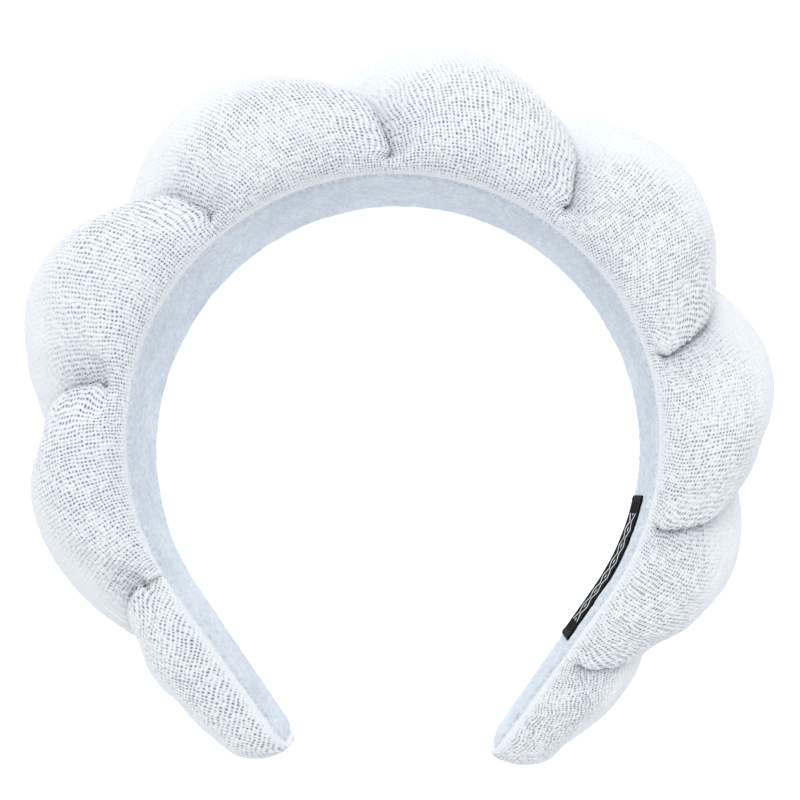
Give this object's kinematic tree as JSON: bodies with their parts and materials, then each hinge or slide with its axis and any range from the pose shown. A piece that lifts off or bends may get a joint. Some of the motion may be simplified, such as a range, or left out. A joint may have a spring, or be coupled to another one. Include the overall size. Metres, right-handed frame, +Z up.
{
  "type": "spa headband",
  "caption": "C-shaped padded headband: a springy strip under terry puffs cinched slantwise like a rope, lined with velvet, open at the nape.",
  "frame": {"origin": "middle of the underside of the whole band as it lies on its side on a flat surface", "axes": "+Z up; +Y from the mouth to the crown; +X to the right leg, which carries the label; the head's axis leans 3.6 degrees from +Z towards -Y"},
  "size_m": [0.1834, 0.1734, 0.0497],
  "materials": {
    "terry": "white terry towelling with short loops",
    "lining": "pale grey short-pile velvet",
    "thread": "white polyester sewing thread",
    "label": "black damask woven label",
    "foam": "soft open-cell sponge",
    "core": "natural polypropylene strip"
  },
  "bodies": {
    "left_tip": {"band_core_1": "core", "lining_1": "lining", "seam_thread_1": "thread", "foam_pad_1": "foam", "terry_cover_1": "terry"},
    "left_lower": {"band_core_2": "core", "lining_2": "lining", "seam_thread_2": "thread", "foam_pad_2": "foam", "terry_cover_2": "terry", "cinch_thread_1": "thread"},
    "left_upper": {"band_core_3": "core", "lining_3": "lining", "seam_thread_3": "thread", "foam_pad_3": "foam", "terry_cover_3": "terry", "cinch_thread_2": "thread"},
    "crown_left": {"band_core_4": "core", "lining_4": "lining", "seam_thread_4": "thread", "foam_pad_4": "foam", "terry_cover_4": "terry", "cinch_thread_3": "thread"},
    "crown": {"band_core_5": "core", "lining_5": "lining", "seam_thread_5": "thread", "foam_pad_5": "foam", "terry_cover_5": "terry", "cinch_thread_4": "thread"},
    "right_upper": {"band_core_6": "core", "lining_6": "lining", "seam_thread_6": "thread", "foam_pad_6": "foam", "terry_cover_6": "terry", "cinch_thread_5": "thread"},
    "right_middle": {"band_core_7": "core", "lining_7": "lining", "seam_thread_7": "thread", "foam_pad_7": "foam", "terry_cover_7": "terry", "cinch_thread_6": "thread"},
    "right_lower": {"band_core_8": "core", "lining_8": "lining", "seam_thread_8": "thread", "foam_pad_8": "foam", "terry_cover_8": "terry", "cinch_thread_7": "thread", "woven_label": "label", "label_stitches": "thread"},
    "right_tip": {"band_core_9": "core", "lining_9": "lining", "seam_thread_9": "thread", "foam_pad_9": "foam", "terry_cover_9": "terry", "cinch_thread_8": "thread"}
  },
  "joints": [
    {"name": "left_spread", "type": "hinge", "parent": "crown", "child": "crown_left", "pos_m": [-0.00569, 0.05478, 0.02515], "axis": [0, 0.0628, -0.998], "range_deg": [-2, 5], "stiffness_Nm_per_rad": 5},
    {"name": "left_flex_2", "type": "hinge", "parent": "crown_left", "child": "left_upper", "pos_m": [-0.04549, 0.03771, 0.02408], "axis": [0, 0.0628, -0.998], "range_deg": [-2, 5], "stiffness_Nm_per_rad": 0.3},
    {"name": "left_flex_3", "type": "hinge", "parent": "left_upper", "child": "left_lower", "pos_m": [-0.06546, -0.00184, 0.02159], "axis": [0, 0.0628, -0.998], "range_deg": [-2, 5], "stiffness_Nm_per_rad": 0.3},
    {"name": "left_flex_4", "type": "hinge", "parent": "left_lower", "child": "left_tip", "pos_m": [-0.05492, -0.04485, 0.01888], "axis": [0, 0.0628, -0.998], "range_deg": [-2, 5], "stiffness_Nm_per_rad": 0.3},
    {"name": "right_spread", "type": "hinge", "parent": "crown", "child": "right_upper", "pos_m": [0.0336, 0.04427, 0.02449], "axis": [0, -0.0628, 0.998], "range_deg": [-2, 5], "stiffness_Nm_per_rad": 5},
    {"name": "right_flex_2", "type": "hinge", "parent": "right_upper", "child": "right_middle", "pos_m": [0.05846, 0.0128, 0.02251], "axis": [0, -0.0628, 0.998], "range_deg": [-2, 5], "stiffness_Nm_per_rad": 0.3},
    {"name": "right_flex_3", "type": "hinge", "parent": "right_middle", "child": "right_lower", "pos_m": [0.06092, -0.02238, 0.0203], "axis": [0, -0.0628, 0.998], "range_deg": [-2, 5], "stiffness_Nm_per_rad": 0.3},
    {"name": "right_flex_4", "type": "hinge", "parent": "right_lower", "child": "right_tip", "pos_m": [0.04351, -0.05571, 0.0182], "axis": [0, -0.0628, 0.998], "range_deg": [-2, 5], "stiffness_Nm_per_rad": 0.3}
  ],
  "couplings": [
    {"joint": "left_flex_2", "follows": "left_spread", "ratio": 1},
    {"joint": "left_flex_3", "follows": "left_spread", "ratio": 1},
    {"joint": "left_flex_4", "follows": "left_spread", "ratio": 1},
    {"joint": "right_flex_2", "follows": "right_spread", "ratio": 1},
    {"joint": "right_flex_3", "follows": "right_spread", "ratio": 1},
    {"joint": "right_flex_4", "follows": "right_spread", "ratio": 1}
  ]
}
